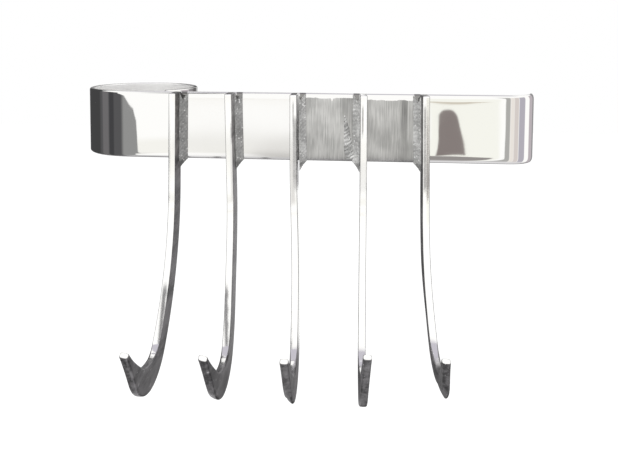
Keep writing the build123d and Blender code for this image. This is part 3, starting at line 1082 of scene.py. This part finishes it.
# %% Sheet of the tent
def panel(name, rows, material):
    """An open sheet from rows[i, j, xyz] in metres."""
    n, m, _ = rows.shape
    i, j = np.arange(n - 1)[:, None], np.arange(m - 1)[None, :]
    quads = np.stack([i * m + j, i * m + j + 1, (i + 1) * m + j + 1, (i + 1) * m + j], -1)
    mesh = bpy.data.meshes.new(name)
    mesh.from_pydata(rows.reshape(-1, 3).tolist(), [], quads.reshape(-1, 4).tolist())
    mesh.materials.append(material)
    sheet = bpy.data.objects.new(name, mesh)
    bpy.context.scene.collection.objects.link(sheet)
    return sheet


coarse, fine, finest = 1.5, 0.25, 0.08
az = np.concatenate([np.arange(-180, -45, coarse), np.arange(-45, -26, 0.4),
                     np.arange(-26, -19, finest), np.arange(-19, 7, fine),
                     np.arange(7, 18, finest), np.arange(18, 180.1, coarse)])
el = np.concatenate([np.arange(-89, -15, 2.0), np.arange(-15, -12, fine),
                     np.arange(-12, -4, finest), np.arange(-4, 4, fine), np.arange(4, 89, coarse)])
az, el = np.meshgrid(az, el, indexing="ij")
radius, middle = 3.0, np.array([0.12, -0.034, 0.0])
a, e = np.radians(az), np.radians(el)
sheet = middle + radius * np.stack([np.sin(a) * np.cos(e), -np.cos(a) * np.cos(e), np.sin(e)], -1)
paper = bpy.data.materials.new("tent_paper")
tree = cleared(paper)
stored = node(tree, "Attribute", attribute_name="light")
glow = node(tree, "Emission", {"Color": stored.outputs["Color"], "Strength": 1.0})
tree.links.new(glow.outputs[0], tree.nodes.new("ShaderNodeOutputMaterial").inputs["Surface"])
paper.cycles.emission_sampling = "NONE"
tent = panel("tent", sheet, paper)
shade = np.concatenate([tent_light(az, el), np.ones(az.shape + (1,))], -1)
attribute = tent.data.attributes.new("light", "FLOAT_COLOR", "POINT")
attribute.data.foreach_set("color", np.ascontiguousarray(shade, np.float32).ravel())
for ray in ("camera", "diffuse", "transmission", "volume_scatter", "shadow"):
    setattr(tent, "visible_" + ray, False)
print("tent of", az.size, "points")

# %% [markdown]
# ## Floor and lamp
#
# A pale floor takes the rack's shadow. It has a little glow for the camera only, so that it runs
# into the white background, and reflections don't see it, because the tent already holds the
# ground that the metal mirrors. One broad lamp from above on the left gives the dull skin and the
# welds their shading; a small one would leave hard shadows of the hooks on each other.

# %% Floor and lamp
FLOOR_Z, FLOOR_HALF = -0.45, 3.0
floor_paint = bpy.data.materials.new("floor_paint")
tree = cleared(floor_paint)
matt = node(tree, "BsdfDiffuse", {"Color": (0.93, 0.93, 0.93, 1)})
path = tree.nodes.new("ShaderNodeLightPath")
lift = node(tree, "Emission", {"Color": (1, 1, 1, 1),
                               "Strength": product(tree, path.outputs["Is Camera Ray"], 0.35)})
both = node(tree, "AddShader", {0: matt.outputs[0], 1: lift.outputs[0]})
tree.links.new(both.outputs[0], tree.nodes.new("ShaderNodeOutputMaterial").inputs["Surface"])
u = np.linspace(-FLOOR_HALF, FLOOR_HALF, 13)
u, v = np.meshgrid(u, u, indexing="ij")
floor = panel("floor", np.stack([u, v, np.full_like(u, FLOOR_Z)], -1), floor_paint)
floor.visible_glossy = False
print("floor at", FLOOR_Z)

lamp = bpy.data.lights.new("soft_lamp", "AREA")
lamp.size, lamp.energy = 1.6, 12.0
lamp_stand = bpy.data.objects.new("soft_lamp", lamp)
lamp_stand.location = (-0.5, -1.2, 1.7)
lamp_stand.rotation_euler = (np.radians(40), 0, np.radians(-22))
lamp_stand.visible_glossy = False
bpy.context.scene.collection.objects.link(lamp_stand)
print("lamp of", lamp.energy, "W,", lamp.size, "m wide")

# %% [markdown]
# ## Camera
#
# The camera stands close, a little above the bar and to the right of its middle, so that the hooks
# at the left show their sides. Tilting it down to the beaks would make the uprights lean together;
# the lens is shifted down instead, as on a view camera.

# %% Camera
SENSOR_MM, LENS_MM, LENS_SHIFT = 36.0, 37.864078, (0.01017799, -0.25540453)
CAMERA_AT, CAMERA_TURNS = (134.37, -411.52, 54.14), (0.07629, 0.0618, 0.00504)


def look(place_mm, yaw, pitch, roll):
    """World matrix of a camera that starts looking along +y and is turned by three angles."""
    cy, sy, cp, sp = np.cos(yaw), np.sin(yaw), np.cos(pitch), np.sin(pitch)
    ahead, right, up = np.array([-sy, cy, 0]), np.array([cy, sy, 0]), np.array([0, 0, 1.0])
    ahead, up = cp * ahead - sp * up, sp * ahead + cp * up
    right, up = np.cos(roll) * right + np.sin(roll) * up, np.cos(roll) * up - np.sin(roll) * right
    m = np.eye(4)
    m[:3, :4] = np.stack([right, up, -ahead, np.array(place_mm) * MM], -1)
    return Matrix(m.tolist())


lens = bpy.data.cameras.new("camera")
lens.sensor_width, lens.lens = SENSOR_MM, LENS_MM
lens.shift_x, lens.shift_y = LENS_SHIFT
lens.clip_start = 0.01
camera = bpy.data.objects.new("camera", lens)
camera.matrix_world = look(CAMERA_AT, *CAMERA_TURNS)
bpy.context.scene.collection.objects.link(camera)
bpy.context.scene.camera = camera
bpy.context.scene.view_settings.view_transform = "Standard"
print("camera lens", round(lens.lens, 2), "shift", round(lens.shift_x, 4), round(lens.shift_y, 4))
